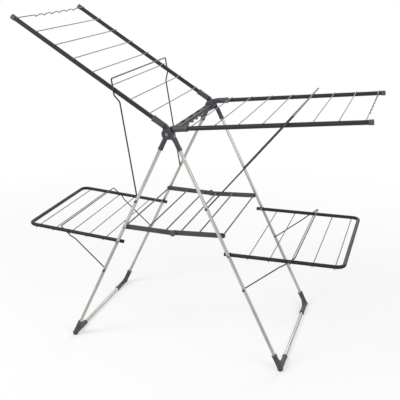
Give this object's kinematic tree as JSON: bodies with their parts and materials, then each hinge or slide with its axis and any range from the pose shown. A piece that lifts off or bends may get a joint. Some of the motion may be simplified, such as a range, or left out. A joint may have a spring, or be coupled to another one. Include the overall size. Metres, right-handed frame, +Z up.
{
  "type": "clothes drying rack",
  "caption": "Folding two-level clothes drying rack: two hinged upper wings on wire props, two lower wings, a folding centre shelf and A-frame steel legs.",
  "frame": {"origin": "on the floor, under the middle of the open rack's bounding box", "axes": "+Z up; X along the wings, with the steeper wing towards -X; Y along the hub bar"},
  "size_m": [1.4372, 0.6096, 1.3904],
  "materials": {
    "brushed_steel": "brushed stainless tube",
    "dark_tube": "satin dark powder coat",
    "grey_wire": "smooth grey coating",
    "dark_wire": "satin dark coating",
    "shelf_bar": "satin slate coating",
    "moulded_plastic": "fine-grained moulded plastic",
    "bright_fastener": "plain zinc-plated steel"
  },
  "bodies": {
    "hub": {"sock_clip_bar": "moulded_plastic", "hub_bolts": "bright_fastener"},
    "left_legs": {"left_leg_arm_near": "moulded_plastic", "left_leg_arm_far": "moulded_plastic", "left_leg_near": "brushed_steel", "left_leg_far": "brushed_steel", "left_foot_near": "moulded_plastic", "left_foot_far": "moulded_plastic", "left_floor_bar": "brushed_steel", "left_lower_pins": "bright_fastener"},
    "left_wing": {"left_wing_arm_near": "moulded_plastic", "left_wing_arm_far": "moulded_plastic", "left_rail_near": "dark_tube", "left_rail_far": "dark_tube", "left_rail_caps": "moulded_plastic", "left_wing_wires": "grey_wire", "left_end_wire": "grey_wire"},
    "left_prop": {"left_prop": "dark_wire", "left_prop_caps": "moulded_plastic"},
    "left_lower_wing": {"left_lower_frame": "dark_tube", "left_lower_wires": "grey_wire"},
    "left_lower_prop": {"left_lower_prop": "dark_wire", "left_lower_prop_caps": "moulded_plastic"},
    "right_legs": {"right_leg_arm_near": "moulded_plastic", "right_leg_arm_far": "moulded_plastic", "right_leg_near": "brushed_steel", "right_leg_far": "brushed_steel", "right_foot_near": "moulded_plastic", "right_foot_far": "moulded_plastic", "right_floor_bar": "brushed_steel", "right_lower_pins": "bright_fastener"},
    "right_wing": {"right_wing_arm_near": "moulded_plastic", "right_wing_arm_far": "moulded_plastic", "right_rail_near": "dark_tube", "right_rail_far": "dark_tube", "right_rail_caps": "moulded_plastic", "right_wing_wires": "grey_wire", "right_end_wire": "grey_wire"},
    "right_prop": {"right_prop": "dark_wire", "right_prop_caps": "moulded_plastic"},
    "right_lower_wing": {"right_lower_frame": "dark_tube", "right_lower_wires": "grey_wire"},
    "right_lower_prop": {"right_lower_prop": "dark_wire", "right_lower_prop_caps": "moulded_plastic"},
    "shelf_left": {"left_shelf_bar_near": "shelf_bar", "left_shelf_bar_far": "shelf_bar", "left_shelf_rods": "dark_wire", "left_shelf_pivot_rod": "dark_wire"},
    "shelf_right": {"right_shelf_bar_near": "shelf_bar", "right_shelf_bar_far": "shelf_bar", "right_shelf_rods": "dark_wire", "right_shelf_pivot_rod": "dark_wire", "shelf_hinge_knobs": "moulded_plastic"}
  },
  "joints": [
    {"name": "leg_fold", "type": "hinge", "parent": "hub", "child": "left_legs", "pos_m": [-0.05952, 0, 0.95], "axis": [0, -1, 0], "range_deg": [0, 22]},
    {"name": "right_leg_fold", "type": "hinge", "parent": "hub", "child": "right_legs", "pos_m": [-0.05952, 0, 0.95], "axis": [0, 1, 0], "range_deg": [0, 22]},
    {"name": "left_wing_fold", "type": "hinge", "parent": "left_legs", "child": "left_wing", "pos_m": [-0.05952, 0, 0.95], "axis": [0, -1, 0], "range_deg": [0, 36]},
    {"name": "left_prop_swing", "type": "hinge", "parent": "left_legs", "child": "left_prop", "pos_m": [-0.20565, 0, 0.65408], "axis": [0, -1, 0], "range_deg": [0, 43.93]},
    {"name": "left_lower_fold", "type": "hinge", "parent": "left_legs", "child": "left_lower_wing", "pos_m": [-0.29563, 0, 0.46544], "axis": [0, -1, 0], "range_deg": [0, 25]},
    {"name": "left_lower_prop_swing", "type": "hinge", "parent": "left_legs", "child": "left_lower_prop", "pos_m": [-0.36021, 0, 0.33006], "axis": [0, -1, 0], "range_deg": [0, 36.88]},
    {"name": "right_wing_fold", "type": "hinge", "parent": "right_legs", "child": "right_wing", "pos_m": [-0.05952, 0, 0.95], "axis": [0, 1, 0], "range_deg": [0, 30]},
    {"name": "right_prop_swing", "type": "hinge", "parent": "right_legs", "child": "right_prop", "pos_m": [0.09879, 0, 0.6599], "axis": [0, 1, 0], "range_deg": [0, 46.66]},
    {"name": "right_lower_fold", "type": "hinge", "parent": "right_legs", "child": "right_lower_wing", "pos_m": [0.18877, 0, 0.47126], "axis": [0, 1, 0], "range_deg": [0, 24]},
    {"name": "right_lower_prop_swing", "type": "hinge", "parent": "right_legs", "child": "right_lower_prop", "pos_m": [0.25335, 0, 0.33587], "axis": [0, 1, 0], "range_deg": [0, 36.85]},
    {"name": "shelf_left_fold", "type": "hinge", "parent": "left_legs", "child": "shelf_left", "pos_m": [-0.26248, 0, 0.53494], "axis": [0, -1, 0], "range_deg": [0, 59.3]},
    {"name": "shelf_right_fold", "type": "hinge", "parent": "shelf_left", "child": "shelf_right", "pos_m": [-0.05343, 0, 0.52985], "axis": [0, 1, 0], "range_deg": [0, 162.66]}
  ],
  "couplings": [
    {"joint": "right_leg_fold", "follows": "leg_fold", "ratio": 1},
    {"joint": "left_prop_swing", "follows": "left_wing_fold", "ratio": 1.22},
    {"joint": "left_lower_prop_swing", "follows": "left_lower_fold", "ratio": 1.475},
    {"joint": "right_prop_swing", "follows": "right_wing_fold", "ratio": 1.555},
    {"joint": "right_lower_prop_swing", "follows": "right_lower_fold", "ratio": 1.535},
    {"joint": "shelf_left_fold", "follows": "leg_fold", "ratio": 2.6949},
    {"joint": "shelf_right_fold", "follows": "leg_fold", "ratio": 7.3933}
  ]
}
